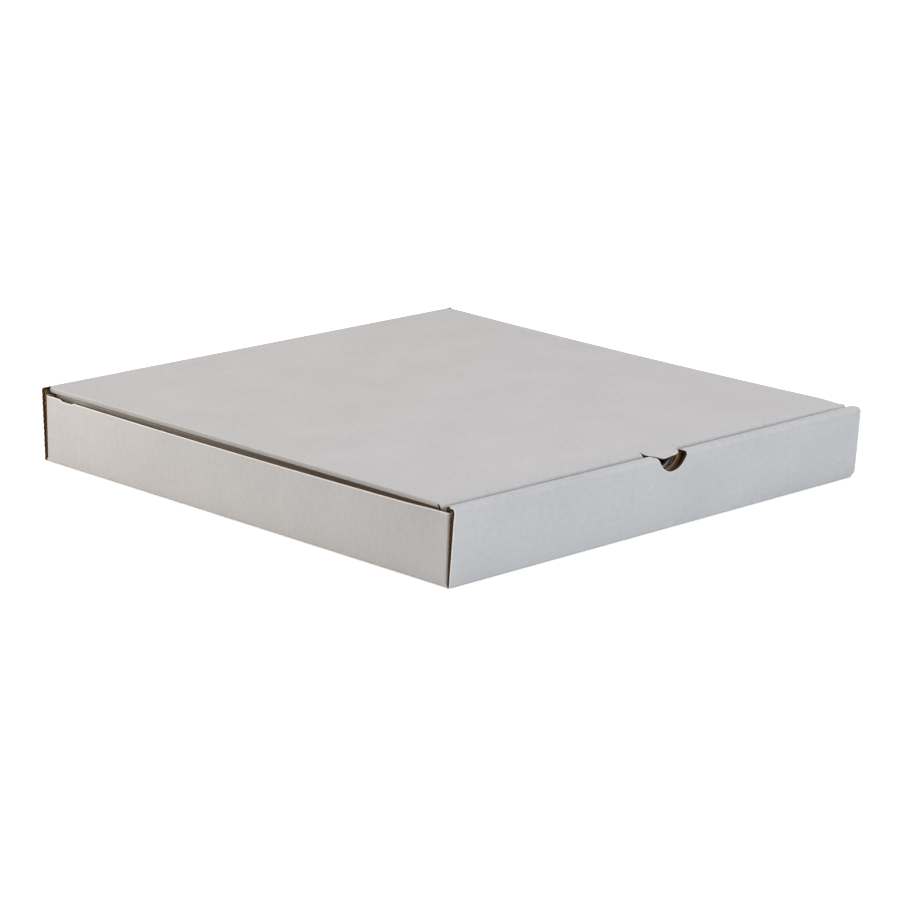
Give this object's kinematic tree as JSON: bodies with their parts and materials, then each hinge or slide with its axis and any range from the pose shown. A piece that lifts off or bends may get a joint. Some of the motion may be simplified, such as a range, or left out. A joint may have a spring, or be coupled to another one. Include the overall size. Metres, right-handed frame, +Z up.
{
  "type": "pizza box",
  "caption": "Flat square corrugated pizza box with a rolled-over front wall, a hinged lid with tuck and dust flaps, a thumb tab and a matching thumb notch.",
  "frame": {"origin": "middle of the underside of the base, half way between the feet of the walls", "axes": "+X runs left to right along the front, -Y is the front with the thumb notch, +Z is up"},
  "size_m": [0.3204, 0.3181, 0.0408],
  "materials": {
    "tray_board": "matt white outer liner, brown flutes at the raw edges",
    "lid_board": "matt white outer liner, brown flutes at the raw edges"
  },
  "bodies": {
    "tray": {"tray": "tray_board"},
    "lid": {"lid": "lid_board"}
  },
  "joints": [
    {"name": "lid_hinge", "type": "hinge", "parent": "tray", "child": "lid", "pos_m": [0, 0.1586, 0.04], "axis": [-1, 0, 0], "range_deg": [0, 180]}
  ]
}
